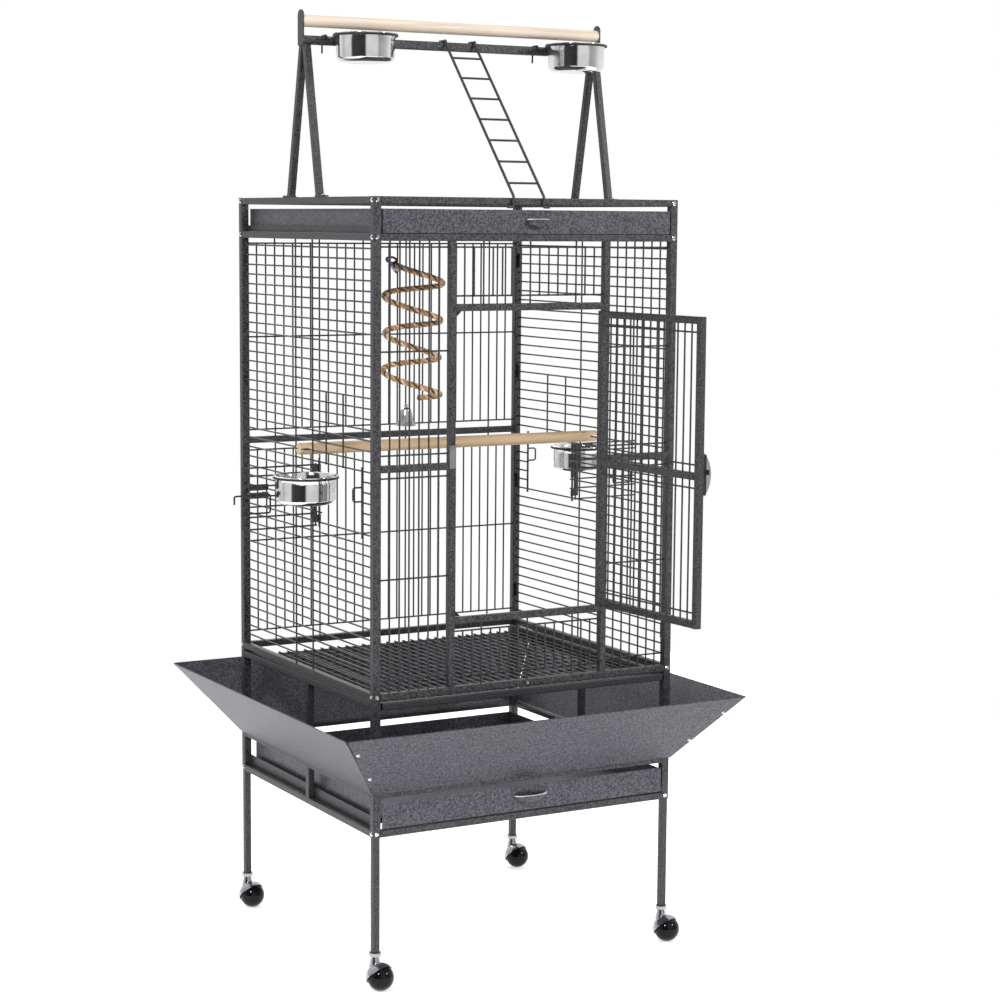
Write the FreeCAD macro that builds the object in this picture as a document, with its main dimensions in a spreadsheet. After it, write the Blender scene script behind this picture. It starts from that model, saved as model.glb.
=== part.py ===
import FreeCAD, Part
import math
import os
import Sketcher
from FreeCAD import Placement, Rotation, Vector

# Bird cage on a wheeled stand.  Millimetres, +Z up, front towards -Y.
# The origin is the point of the floor under the centre of the cage.

doc = FreeCAD.newDocument("bird_cage_on_stand")

# ---------------------------------------------------------------- driving dimensions

DIMENSIONS = {
    # overall
    "cage_width": 624.6,
    "cage_depth": 590.2,
    "cage_top": 1404.5,
    "cage_bottom": 521.0,
    # tubes and wires
    "post_size": 15.0,
    "rail_size": 12.7,
    "slim_rail": 10.0,
    "tube_wall": 1.0,
    "tube_round": 1.8,
    "wire_size": 3.2,
    "rod_size": 4.0,
    "sheet_metal": 1.0,
    "bar_count": 30,
    "row_pitch": 18.55,
    "row_count": 42,
    "row_top": 1314.6,
    # levels of the rails, measured to their lower face
    "base_rail_level": 276.5,
    "ledge_level": 347.0,
    "stand_rail_level": 505.8,
    "floor_rail_level": 522.6,
    "sill_level": 647.8,
    "mid_rail_level": 926.0,
    "lintel_level": 1205.5,
    "tray_rail_level": 1328.0,
    # main doorway and door
    "doorway_shift": 2.3,
    "doorway_width": 305.1,
    "door_gap": 2.2,
    "door_open": 94.0,
    # wire grids: edge wires of the lower and the upper grid
    "grid_bottom": 557.0,
    "grid_low_top": 915.0,
    "grid_high_bottom": 955.0,
    "grid_top": 1317.6,
    # feeder doors
    "feeder_hinge_y": 66.0,
    "feeder_far_y": 244.2,
    "feeder_width": 156.5,
    "feeder_open": 87.0,
    "feeder_low": 808.6,
    "feeder_high": 923.9,
    "feeder_rod_low": 806.0,
    "feeder_rod_high": 933.0,
    # bowls
    "bowl_rim_radius": 59.0,
    "bowl_radius": 54.5,
    "bowl_depth": 53.0,
    "bowl_wall": 1.0,
    "top_bowl_x": 221.5,
    "top_bowl_level": 1697.0,
    "feeder_bowl_level": 911.0,
    # perches
    "perch_radius": 11.0,
    "perch_level": 943.6,
    "top_perch_level": 1720.0,
    # play stand
    "beam_size": 16.0,
    "beam_level": 1678.0,
    "beam_half_length": 312.3,
    "frame_foot_y": 62.0,
    "bracket_top": 1740.0,
    "ladder_width": 62.0,
    "ladder_rungs": 7,
    # stand and seed guards
    "leg_size": 12.8,
    "leg_bottom": 66.8,
    "guard_low": 357.0,
    "guard_high": 483.0,
    "guard_low_x": 314.4,
    "guard_low_y": 297.2,
    "guard_high_x": 414.0,
    "guard_high_y": 399.0,
    # trays
    "tray_width": 589.0,
    "top_tray_level": 1341.6,
    "top_tray_high": 1383.4,
    "low_tray_level": 292.0,
    "low_tray_high": 338.0,
    "handle_width": 68.0,
    # casters
    "ball_radius": 24.0,
    "ball_offset_x": 4.0,
    "ball_offset_y": -14.5,
    # hanging toy
    "toy_x": -134.0,
    "toy_y": -100.0,
    "toy_radius": 62.0,
    "toy_top": 1290.0,
    "toy_bottom": 1031.0,
}

sheet = doc.addObject("Spreadsheet::Sheet", "Dim")
for row, (alias, number) in enumerate(DIMENSIONS.items(), start=1):
    sheet.set(f"A{row}", alias)
    sheet.set(f"B{row}", str(number))
    sheet.setAlias(f"B{row}", alias)
doc.recompute()


class Size:
    """A length with its value and the spreadsheet expression that it comes from."""

    def __init__(self, value, text):
        self.value = float(value)
        self.text = text

    @staticmethod
    def of(other):
        return other if isinstance(other, Size) else Size(other, f"{other}")

    def __add__(self, other):
        other = Size.of(other)
        return Size(self.value + other.value, f"({self.text} + {other.text})")

    def __sub__(self, other):
        other = Size.of(other)
        return Size(self.value - other.value, f"({self.text} - {other.text})")

    def __mul__(self, factor):
        return Size(self.value * factor, f"({self.text} * {factor})")

    def __truediv__(self, factor):
        return Size(self.value / factor, f"({self.text} / {factor})")

    def __rsub__(self, other):
        return Size.of(other) - self

    def __neg__(self):
        return Size(-self.value, f"(0 - {self.text})")

    __radd__ = __add__
    __rmul__ = __mul__


def cell(alias):
    return Size(sheet.get(alias), f"Dim.{alias}")


def bind(obj, **sizes):
    """Bind properties of an object to expressions of the sheet."""
    for prop, size in sizes.items():
        obj.setExpression(prop, Size.of(size).text)


def place(obj, x, y, z, rotation=None):
    """Put an object at a point whose coordinates follow the sheet."""
    at = [Size.of(value) for value in (x, y, z)]
    obj.Placement = Placement(Vector(*[value.value for value in at]), rotation or Rotation())
    for axis, value in zip("xyz", at):
        obj.setExpression(f"Placement.Base.{axis}", value.text)


# ---------------------------------------------------------------- shared sizes

half_width = cell("cage_width") / 2
half_depth = cell("cage_depth") / 2
post = cell("post_size")
rail = cell("rail_size")
slim = cell("slim_rail")
wire = cell("wire_size")
rod = cell("rod_size")
metal = cell("sheet_metal")
inner_x = half_width - post              # inner faces of the posts
inner_y = half_depth - post
post_x = half_width - post / 2           # axes of the posts
post_y = half_depth - post / 2
rail_x = half_width - rail / 2           # axes of rails flush with the outside
rail_y = half_depth - rail / 2
panel_x = half_width - 6.3               # plane of the side panels' wires
panel_y = half_depth - 6.35              # plane of the front and back bars

TURN = {
    "x": Rotation(Vector(0, 1, 0), 90),
    "y": Rotation(Vector(1, 0, 0), -90),
    "z": Rotation(),
}

nodes = {}


def keep(name, obj):
    """Register an object as a sub-part with its own name."""
    obj.Label = name
    nodes[name] = obj
    return obj


def compound(name, members):
    group = doc.addObject("Part::Compound", name)
    group.Links = members
    return keep(name, group)


# ---------------------------------------------------------------- primitives

def square_tube(axis, length, x, y, z, width=rail, rounded=True):
    """Hollow square tube that starts at a point on its own axis and runs along +axis."""
    outer = doc.addObject("Part::Box", "tube_outer")
    bind(outer, Length=width, Width=width, Height=length)
    place(outer, -(width / 2), -(width / 2), 0)
    skin = outer
    if rounded:
        skin = doc.addObject("Part::Fillet", "tube_rounded")
        skin.Base = outer
        radius = cell("tube_round").value
        skin.Edges = [(edge, radius, radius) for edge in (1, 3, 5, 7)]
    wall = cell("tube_wall")
    bore = doc.addObject("Part::Box", "tube_bore")
    bind(bore, Length=width - wall * 2, Width=width - wall * 2, Height=length)
    place(bore, wall - width / 2, wall - width / 2, 0)
    tube = doc.addObject("Part::Cut", "tube")
    tube.Base = skin
    tube.Tool = bore
    place(tube, x, y, z, TURN[axis])
    return tube


def block(length, width, height, x, y, z):
    """Box from its lowest corner."""
    box = doc.addObject("Part::Box", "block")
    bind(box, Length=length, Width=width, Height=height)
    place(box, x, y, z)
    return box


def bar(axis, length, x, y, z, diameter=wire):
    """Round rod that starts at a point and runs along +axis."""
    cylinder = doc.addObject("Part::Cylinder", "bar")
    bind(cylinder, Radius=diameter / 2, Height=length)
    place(cylinder, x, y, z, TURN[axis])
    return cylinder


def cut(base, tool):
    result = doc.addObject("Part::Cut", "cut")
    result.Base = base
    result.Tool = tool
    return result


def fuse(members):
    result = doc.addObject("Part::MultiFuse", "fuse")
    result.Shapes = members
    return result


def solid_from(name, shape):
    """A sub-shape made with Part's own functions."""
    feature = doc.addObject("Part::Feature", name)
    feature.Shape = shape
    return feature


def bent_wire(points, diameter, bend):
    """Round wire along straight runs that are joined by tangent arcs, as a solid."""
    corners = [Vector(*point) for point in points]
    edges = []
    start = corners[0]
    for before, corner, after in zip(corners, corners[1:], corners[2:]):
        back = (before - corner).normalize()
        ahead = (after - corner).normalize()
        half = back.getAngle(ahead) / 2
        reach = bend / math.tan(half)
        arc_start = corner + back * reach
        arc_end = corner + ahead * reach
        centre = corner + (back + ahead).normalize() * (bend / math.sin(half))
        arc_middle = centre + (corner - centre).normalize() * bend
        edges.append(Part.makeLine(start, arc_start))
        edges.append(Part.Arc(arc_start, arc_middle, arc_end).toShape())
        start = arc_end
    edges.append(Part.makeLine(start, corners[-1]))
    spine = Part.Wire(edges)
    direction = corners[1] - corners[0]
    circle = Part.Wire([Part.makeCircle(diameter / 2, corners[0], direction)])
    return spine.makePipeShell([circle], True, False)


# ---------------------------------------------------------------- PartDesign helpers

def new_body(name):
    return keep(name, doc.addObject("PartDesign::Body", name))


def sketch_on(body, role):
    plane = next(item for item in body.Origin.OriginFeatures if item.Role == role)
    sketch = body.newObject("Sketcher::SketchObject", "profile")
    sketch.AttachmentSupport = [(plane, "")]
    sketch.MapMode = "FlatFace"
    return sketch


def add_outline(sketch, corners):
    """Closed outline; each corner's two coordinates are bound to the sheet."""
    corners = [(Size.of(across), Size.of(up)) for across, up in corners]
    points = [Vector(across.value, up.value, 0) for across, up in corners]
    first = sketch.GeometryCount
    for start, end in zip(points, points[1:] + points[:1]):
        sketch.addGeometry(Part.LineSegment(start, end), False)
    count = len(points)
    for index in range(count):
        following = first + (index + 1) % count
        sketch.addConstraint(
            Sketcher.Constraint("Coincident", first + index, 2, following, 1))
    for index, pair in enumerate(corners):
        locate(sketch, first + index, 1, *pair)


def locate(sketch, geometry, vertex, across, up):
    """Tie a vertex of a sketch to the sketch's origin with two sheet sizes."""
    for kind, size in (("DistanceX", across), ("DistanceY", up)):
        number = sketch.addConstraint(
            Sketcher.Constraint(kind, -1, 1, geometry, vertex, size.value))
        sketch.setExpression(f"Constraints[{number}]", size.text)


def add_circle(sketch, radius, x=0, y=0):
    """Circle with its radius and centre bound to the sheet."""
    radius, x, y = Size.of(radius), Size.of(x), Size.of(y)
    index = sketch.addGeometry(
        Part.Circle(Vector(x.value, y.value, 0), Vector(0, 0, 1), radius.value), False)
    number = sketch.addConstraint(Sketcher.Constraint("Radius", index, radius.value))
    sketch.setExpression(f"Constraints[{number}]", radius.text)
    locate(sketch, index, 3, x, y)


def pad(body, sketch, length, symmetric=False, reverse=False):
    feature = body.newObject("PartDesign::Pad", "pad")
    feature.Profile = sketch
    bind(feature, Length=length)
    feature.Midplane = symmetric
    feature.Reversed = reverse
    return feature


def pocket(body, sketch, length, symmetric=False, reverse=False):
    feature = body.newObject("PartDesign::Pocket", "pocket")
    feature.Profile = sketch
    bind(feature, Length=length)
    feature.Midplane = symmetric
    feature.Reversed = reverse
    return feature


def revolve(body, sketch, axis="V_Axis", angle=360):
    feature = body.newObject("PartDesign::Revolution", "revolution")
    feature.Profile = sketch
    feature.ReferenceAxis = (sketch, [axis])
    feature.Angle = angle
    return feature


# ---------------------------------------------------------------- repeated patterns

def both(function):
    """Members for the left (-1) and the right (+1) side."""
    return [function(side) for side in (-1, 1)]


def upright_bars(low_x, high_x, count, low_z, high_z, y, full=None):
    """Evenly spaced upright bars; with full given, every fifth one reaches the rails."""
    pitch = (high_x - low_x) / (count + 1)
    bars = []
    for index in range(1, count + 1):
        reaches = full and index % 5 == 3
        foot, head = full if reaches else (low_z, high_z)
        bars.append(bar("z", head - foot, low_x + pitch * index, y, foot))
    return bars


def cross_wires(low_x, high_x, levels, y):
    return [bar("x", high_x - low_x, low_x, y, level) for level in levels]


def ring_of_rails(level, width, x, y):
    """Four rails between the posts at one level, on the axes x and y."""
    height = level + width / 2
    rails = []
    for side in (-1, 1):
        rails.append(square_tube("x", inner_x * 2, -inner_x, y * side, height, width))
        rails.append(square_tube("y", inner_y * 2, x * side, -inner_y, height, width))
    return rails


def corners():
    return [(sx, sy) for sx in (-1, 1) for sy in (-1, 1)]


def hung(name, members, x, y, angle):
    """A compound drawn round its own upright hinge axis, turned to its rest angle."""
    group = compound(name, members)
    place(group, x, y, 0, Rotation(Vector(0, 0, 1), angle))
    return group


def fixed_wire(name, points, diameter, bend):
    points = [[Size.of(value).value for value in point] for point in points]
    return solid_from(name, bent_wire(points, Size.of(diameter).value, bend))


# ---------------------------------------------------------------- posts, rails, legs

cage_bottom = cell("cage_bottom")
cage_top = cell("cage_top")
base_level = cell("base_rail_level")
floor_rail = cell("floor_rail_level")
stand_rail = cell("stand_rail_level")
tray_rail = cell("tray_rail_level")
roof_rail = cage_top - rail
floor_rail_top = floor_rail + rail

posts = []
legs = []
leg_socket = 24.0
for sx, sy in corners():
    x, y = post_x * sx, post_y * sy
    posts.append(square_tube("z", cage_top - cage_bottom, x, y, cage_bottom, post))
    posts.append(square_tube("z", cage_bottom - base_level, x, y, base_level, post))
    leg_length = base_level + leg_socket - cell("leg_bottom")
    legs.append(square_tube("z", leg_length, x, y, cell("leg_bottom"), cell("leg_size")))
compound("corner_posts", posts)
compound("legs", legs)

compound("base_rails", ring_of_rails(base_level, rail, rail_x, rail_y))
compound("roof_frame", ring_of_rails(roof_rail, rail, rail_x, rail_y))

upright_shift = 15.0                     # left upright to the front, right one to the back
ledge = cell("ledge_level")
ledge_x = half_width - slim / 2
ledge_y = half_depth - slim / 2
side_rail_z = stand_rail + rail / 2
stand_parts = []
ledge_parts = []
for side in (-1, 1):
    upright_y = upright_shift * side
    upright_z = base_level + rail
    stand_parts.append(
        square_tube("z", stand_rail - upright_z, rail_x * side, upright_y, upright_z))
    stand_parts.append(square_tube("y", inner_y * 2, rail_x * side, -inner_y, side_rail_z))
    near = upright_y - rail / 2
    far = upright_y + rail / 2
    ledge_z = ledge + slim / 2
    ledge_parts.append(
        square_tube("x", inner_x * 2, -inner_x, ledge_y * side, ledge_z, slim))
    ledge_parts.append(
        square_tube("y", near + inner_y, ledge_x * side, -inner_y, ledge_z, slim))
    ledge_parts.append(square_tube("y", inner_y - far, ledge_x * side, far, ledge_z, slim))
compound("stand_sides", stand_parts)
compound("tray_ledge", ledge_parts)


def angle_runner(side, top, low, high):
    """L-shaped runner: a shelf with its top at one level and a web against the rails."""
    web_face = half_width - rail
    shelf_width = 17.0
    length = inner_y * 2
    web_x = -web_face if side < 0 else web_face - metal
    shelf_x = -web_face if side < 0 else web_face - shelf_width
    web = block(metal, length, high - low, web_x, -inner_y, low)
    shelf = block(shelf_width, length, metal, shelf_x, -inner_y, top - metal)
    return fuse([web, shelf])


low_tray = cell("low_tray_level")
top_tray = cell("top_tray_level")
tray_floor = low_tray + 7.8
runner_levels = (
    (tray_floor - 0.2, base_level + 2.0, tray_floor + 9.0),
    (stand_rail - 1.6, stand_rail - 2.6, stand_rail + 9.0),
    (top_tray - 0.2, tray_rail + 0.6, tray_rail + 24.0),
)
runners = [angle_runner(side, *level) for level in runner_levels for side in (-1, 1)]
compound("tray_runners", runners)

# ---------------------------------------------------------------- trays and grate


def cup_pull(mouth_z, y, wide, shift):
    """Pull pressed out of a panel: a quarter dome that is open at the top."""
    deep, tall = 16.0, 17.0
    thick = 1.0
    shells = []
    for shrink in (0, thick):
        dome = doc.addObject("Part::Ellipsoid", "dome")
        bind(dome, Radius1=tall - shrink, Radius2=wide - shrink, Radius3=deep - shrink)
        dome.Angle1 = -90
        dome.Angle2 = 90
        place(dome, shift, y, mouth_z)
        shells.append(dome)
    half = block(wide * 2.4, deep * 1.5, tall * 1.5, shift - wide * 1.2,
                 y - deep * 1.5, mouth_z - tall * 1.5)
    quarter = doc.addObject("Part::Common", "quarter_dome")
    quarter.Base = cut(shells[0], shells[1])
    quarter.Tool = half
    return quarter


def tray(name, width, floor, wall_top, panel_low, back, mouth, pull_half, pull_shift):
    """Open tray with a tall front panel and a crescent handle."""
    front = -half_depth
    length = back - front
    wall = metal * 1.2
    outside = block(width, length, wall_top - floor, -(width / 2), front, floor)
    inside = block(width - wall * 2, length - wall * 2, wall_top - floor,
                   wall - width / 2, front + wall, floor + wall)
    panel_width = cell("tray_width")
    panel = block(panel_width, wall, wall_top - panel_low, -(panel_width / 2), front,
                  panel_low)
    box = fuse([cut(outside, inside), panel])
    return compound(name, [box, cup_pull(panel_low + mouth, front, pull_half, pull_shift)])


tray("top_tray", cell("tray_width"), top_tray, cell("top_tray_high"), top_tray, inner_y,
     25.5, cell("handle_width") * 0.33, 12.0)
tray("bottom_tray", cell("tray_width") - 9.0, tray_floor, cell("low_tray_high"), low_tray,
     inner_y - 5.0, 29.0, cell("handle_width") / 2, 7.5)

grate_x = inner_x - 3.0
grate_z = stand_rail + 4.6
grate_front = -half_depth + rail
grate_length = inner_y - grate_front - 3.0
grate_parts = [square_tube("x", grate_x * 2, -grate_x, -rail_y, side_rail_z)]
for side in (-1, 1):
    grate_parts.append(
        bar("y", grate_length, (grate_x - 2.0) * side, grate_front, grate_z + 0.4, rod))
grate_slats = 31
slat_pitch = (grate_x * 2) / (grate_slats + 1)
for index in range(1, grate_slats + 1):
    slat_x = slat_pitch * index - grate_x
    grate_parts.append(bar("y", grate_length, slat_x, grate_front, grate_z))
grate_ties = 15
tie_pitch = grate_length / grate_ties
for index in range(1, grate_ties + 1):
    tie_y = grate_front + tie_pitch * index - 3.0
    grate_parts.append(bar("x", grate_x * 2 - 4.0, 2.0 - grate_x, tie_y, grate_z - wire))
compound("bottom_grate", grate_parts)

grille_parts = []
grille_z = tray_rail + 6.0
grille_slats = 29
grille_pitch = 19.4
for index in range(grille_slats):
    slat_x = grille_pitch * (index - (grille_slats - 1) / 2)
    grille_parts.append(
        bar("y", (half_depth - rail) * 2, slat_x, rail - half_depth, grille_z))
for tie_y in (-200.0, -100.0, 0.0, 100.0, 200.0):
    grille_half = half_width - rail - metal
    grille_parts.append(bar("x", grille_half * 2, -grille_half, tie_y, grille_z - wire))
compound("roof_grille", grille_parts)

# ---------------------------------------------------------------- front, back, sides

door_middle = cell("doorway_shift")
jamb_left = door_middle - cell("doorway_width") / 2       # inner faces of the jambs
jamb_right = door_middle + cell("doorway_width") / 2
sill = cell("sill_level")
lintel = cell("lintel_level")
mid_rail = cell("mid_rail_level")
frame_z = tray_rail - floor_rail_top
opening_width = jamb_right - jamb_left

front_tubes = [
    square_tube("x", inner_x * 2, -inner_x, -rail_y, floor_rail + rail / 2),
    square_tube("x", inner_x * 2, -inner_x, -rail_y, tray_rail + rail / 2),
    square_tube("z", frame_z, jamb_left - rail / 2, -rail_y, floor_rail_top),
    square_tube("z", frame_z, jamb_right + rail / 2, -rail_y, floor_rail_top),
    square_tube("x", opening_width, jamb_left, -rail_y, sill + rail / 2),
    square_tube("x", opening_width, jamb_left, -rail_y, lintel + rail / 2),
    square_tube("x", jamb_left - rail + inner_x, -inner_x, -rail_y, mid_rail + rail / 2),
    square_tube("x", inner_x - jamb_right - rail, jamb_right + rail, -rail_y,
                mid_rail + rail / 2),
]
gusset_side = 17.0
for corner_z, direction in ((sill + rail, 1), (lintel, -1)):
    gusset_y = rail - half_depth
    base = block(gusset_side, 1.5, gusset_side, jamb_left, gusset_y,
                 corner_z if direction > 0 else corner_z - gusset_side)
    trim = block(gusset_side * 2, 3.0, gusset_side, 0, 0, 0)
    if direction > 0:
        place(trim, jamb_left, gusset_y - 0.5, corner_z + gusset_side,
              Rotation(Vector(0, 1, 0), 45))
    else:
        place(trim, jamb_left + gusset_side, gusset_y - 0.5, corner_z,
              Rotation(Vector(0, 1, 0), 135))
    front_tubes.append(cut(base, trim))
compound("front_frame", front_tubes)

grid_bottom = cell("grid_bottom")
grid_low_top = cell("grid_low_top")
grid_high_bottom = cell("grid_high_bottom")
grid_top = cell("grid_top")
cross_y = panel_y - wire                 # cross wires lie on the inner side of the bars
mid_rail_top = mid_rail + rail
levels_above = (grid_top, (grid_top + grid_high_bottom) / 2, grid_high_bottom)
levels_below = (grid_low_top, (grid_low_top + grid_bottom) / 2, grid_bottom)

front_bars = []
narrow_panels = ((-inner_x, jamb_left - rail), (jamb_right + rail, inner_x))
for low_x, high_x in narrow_panels:
    front_bars += upright_bars(low_x, high_x, 6, floor_rail_top, mid_rail, -panel_y)
    front_bars += upright_bars(low_x, high_x, 6, mid_rail_top, tray_rail, -panel_y)
    front_bars += cross_wires(low_x, high_x, levels_above + levels_below, -cross_y)
edge = wire / 2
for low_z, high_z, margin_low, margin_high in (
        (lintel + rail, tray_rail, 14.0, 10.4),
        (floor_rail_top, sill, 16.0, 13.8)):
    wire_low, wire_high = low_z + margin_low, high_z - margin_high
    front_bars += upright_bars(jamb_left, jamb_right, 15, wire_low - edge,
                               wire_high + edge, -panel_y, (low_z, high_z))
    front_bars += cross_wires(jamb_left, jamb_right, (wire_low, wire_high), -cross_y)
compound("front_wires", front_bars)

back_mid = mid_rail + 2.5
compound("back_frame", [
    square_tube("x", inner_x * 2, -inner_x, rail_y, level + rail / 2)
    for level in (floor_rail, back_mid, tray_rail)
])
back_count = DIMENSIONS["bar_count"]
back_bars = upright_bars(-inner_x, inner_x, back_count, grid_high_bottom - edge,
                         grid_top + edge, panel_y, (back_mid + rail, tray_rail))
back_bars += upright_bars(-inner_x, inner_x, back_count, grid_bottom - edge,
                          grid_low_top + edge, panel_y, (floor_rail_top, back_mid))
back_bars += cross_wires(-inner_x, inner_x, levels_above + levels_below, cross_y)
compound("back_wires", back_bars)

compound("side_frames", [
    square_tube("y", inner_y * 2, rail_x * side, -inner_y, level + rail / 2)
    for side in (-1, 1) for level in (floor_rail, tray_rail)
])

feeder_hinge_x = panel_x + (wire + rod) / 2
feeder_hinge_y = cell("feeder_hinge_y")
feeder_far_y = cell("feeder_far_y")
row_pitch = cell("row_pitch")
row_top = cell("row_top")
feeder_rows = range(22, 27)


def side_panel(side):
    """Wires of one side; its feeder opening lies on the side's own half of the depth."""
    plane = panel_x * side
    outer_plane = (panel_x + wire) * side
    rod_plane = feeder_hinge_x * side
    wires = []

    def row(low_y, high_y, z):
        start = low_y if side < 0 else -high_y
        wires.append(bar("y", high_y - low_y, plane, start, z))

    for index in range(DIMENSIONS["row_count"]):
        z = row_top - row_pitch * index
        if index in feeder_rows:
            row(-inner_y, -feeder_far_y + edge, z)
            row(-feeder_hinge_y - edge, inner_y, z)
        else:
            row(-inner_y, inner_y, z)
    for y in (-37.0, 37.0):
        wires.append(bar("z", tray_rail - floor_rail_top, outer_plane, y, floor_rail_top))
    for y in (95.0, 166.0):
        low = row_top - row_pitch * 21 - edge
        wires.append(bar("z", 131.6, outer_plane, y * side, low))
    rod_low = cell("feeder_rod_low")
    rod_length = cell("feeder_rod_high") - rod_low
    for y in (feeder_hinge_y, feeder_far_y):
        wires.append(bar("z", rod_length, rod_plane, y * side, rod_low, rod))
    root_x = (feeder_hinge_x + rod / 2) * side
    tip_x = (feeder_hinge_x + 18.0) * side
    keeper_y = feeder_far_y.value * side
    z_low, z_high = 872.0, 897.0
    path = [(root_x, keeper_y, z_high), (tip_x, keeper_y, z_high),
            (tip_x, keeper_y, z_low), (root_x, keeper_y, z_low)]
    wires.append(fixed_wire("keeper_loop", path, wire, 5.0))
    return wires


compound("side_wires_left", side_panel(-1))
compound("side_wires_right", side_panel(1))

clips = []
clip_height, clip_width, clip_thick = 28.0, 9.0, 1.5
clip_x = panel_x - edge
for sx, sy in corners():
    for z in (1283.0, 1055.0, 827.0, 598.0):
        low_x = -clip_x if sx < 0 else clip_x - clip_thick
        low_y = -inner_y if sy < 0 else inner_y - clip_width
        clips.append(block(clip_thick, clip_width, clip_height, low_x, low_y,
                           z - clip_height / 2))
compound("panel_clips", clips)

# ---------------------------------------------------------------- main door
# Drawn closed round its hinge axis, then turned to the open rest position.

stand_off = 3.2                          # hinge axis in front of the door's face
door_gap = cell("door_gap")
hinge_x = jamb_right - door_gap / 2
hinge_y = -(half_depth + stand_off)
door_angle = cell("door_open").value
door_right = -(door_gap / 2)
door_left = jamb_left - hinge_x + door_gap
door_low = sill + rail + 2.0
door_high = lintel - 2.0
door_y = rail / 2 + stand_off
inside_left = door_left + rail
inside_right = door_right - rail
door_mid = cell("mid_rail_level") - 4.5

door_tubes = [
    square_tube("z", door_high - door_low, door_left + rail / 2, door_y, door_low),
    square_tube("z", door_high - door_low, door_right - rail / 2, door_y, door_low),
]
for level in (door_low, door_mid, door_high - rail):
    door_tubes.append(square_tube("x", inside_right - inside_left, inside_left, door_y,
                                  level + rail / 2))
hung("door_frame", door_tubes, hinge_x, hinge_y, door_angle)

door_wires = []
edge_gap = 14.0
for low_z, high_z in ((door_low + rail, door_mid), (door_mid + rail, door_high - rail)):
    door_wires += upright_bars(inside_left, inside_right, 13, low_z, high_z, door_y)
    door_wires += cross_wires(inside_left, inside_right,
                              (low_z + edge_gap, high_z - edge_gap), door_y + wire)
hung("door_bars", door_wires, hinge_x, hinge_y, door_angle)

hinge_levels = (720.0, 1146.0)
hinge_half = 20.0
knuckle_half = 7.0
knuckle_radius = 3.0
pin_radius = 1.5
leaf_width = 13.0
fixed_hinges = []
moving_hinges = []
for z in hinge_levels:
    leaf = block(leaf_width - 3.2, 1.0, hinge_half * 2, 3.2, 2.2, z - hinge_half)
    knuckle = bar("z", hinge_half * 2, 0, 0, z - hinge_half, knuckle_radius * 2)
    tab = block(4.0, 1.0, hinge_half * 2, 0, 2.0, z - hinge_half)
    gap = block(6.2, 6.6, knuckle_half * 2, -3.1, -3.3, z - knuckle_half)
    pin = bar("z", hinge_half * 2, 0, 0, z - hinge_half, pin_radius * 2)
    fixed_hinges.append(fuse([leaf, cut(fuse([knuckle, tab]), gap), pin]))
    turn_half = knuckle_half - 0.1
    moving_leaf = block(leaf_width - 3.2, 1.0, hinge_half * 2, -leaf_width, 2.2,
                        z - hinge_half)
    moving_knuckle = bar("z", turn_half * 2, 0, 0, z - turn_half, knuckle_radius * 2)
    moving_tab = block(4.0, 1.0, turn_half * 2, -4.0, 2.0, z - turn_half)
    bore = bar("z", turn_half * 4, 0, 0, z - turn_half * 2, (pin_radius + 0.05) * 2)
    moving_hinges.append(cut(fuse([moving_leaf, moving_knuckle, moving_tab]), bore))
hung("door_hinges_fixed", fixed_hinges, hinge_x, hinge_y, 0)
hung("door_hinges_moving", moving_hinges, hinge_x, hinge_y, door_angle)



def new_lever_paddle(width, height, depth):
    """Arched hand lever: its back is flat and its front swells in the middle."""
    arch_radius = ((height / 2) ** 2 + depth ** 2) / (2 * depth)
    middle = lock_z - 5.5
    drum = bar("x", width, lock_x - width / 2, lever_back - depth + arch_radius, middle,
               arch_radius * 2)
    slab = block(width * 2, depth, height, lock_x - width, lever_back - depth,
                 middle - height / 2)
    arch = doc.addObject("Part::Common", "arch")
    arch.Base = drum
    arch.Tool = slab
    return arch


lock_x = door_left + 10.7
lock_z = 936.0
case_depth = 6.0
case_front = stand_off - case_depth
lever_back = case_front - 0.2
pivot_radius = 2.5
case = block(20.0, case_depth, 70.0, door_left + 1.0, case_front, 896.0)
pivot_bore = bar("y", 5.0, lock_x, case_front - 1.0, lock_z, (pivot_radius + 0.05) * 2)
hung("door_latch_case", [cut(case, pivot_bore)], hinge_x, hinge_y, door_angle)
paddle = new_lever_paddle(9.0, 75.0, 14.0)
lever = fuse([
    paddle,
    block(17.5, 2.0, 9.0, lock_x - 17.5, lever_back - 2.0, lock_z - 4.5),
    bar("y", 5.2, lock_x, lever_back - 2.0, lock_z, pivot_radius * 2),
])
hung("door_latch_lever", [lever], hinge_x, hinge_y, door_angle)

keeper = fuse([
    block(rail, 1.0, 42.0, jamb_left - rail, -half_depth - 1.0, 928.0),
    block(rail, 9.0, 1.5, jamb_left - rail, -half_depth - 9.0, 968.5),
])
compound("latch_keeper", [keeper])

# ---------------------------------------------------------------- feeder doors
# Drawn round the hinge rod: +X along the door, +Y towards the inside, then turned to rest.

feeder_low = cell("feeder_low")
feeder_high = cell("feeder_high")
feeder_width = cell("feeder_width")
feeder_open = cell("feeder_open").value
sleeve_levels = (915.8, 860.1, 823.0)
sleeve_half = 6.0
row_face = wire / 2                      # outer face of the door's cross wires
near_x = 8.0
far_x = feeder_width - 1.5
inner_plane = wire
plate_y = inner_plane + wire / 2
bolt_z = 871.0
bolt_y = -3.45
bolt_end = feeder_width + 13.0
bolt_start = 98.0
ring_radius = 57.6
ring_wire = 3.8
ring_x = 61.0
ring_y = plate_y + ring_radius + ring_wire / 2
rim_height = 2.4


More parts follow.
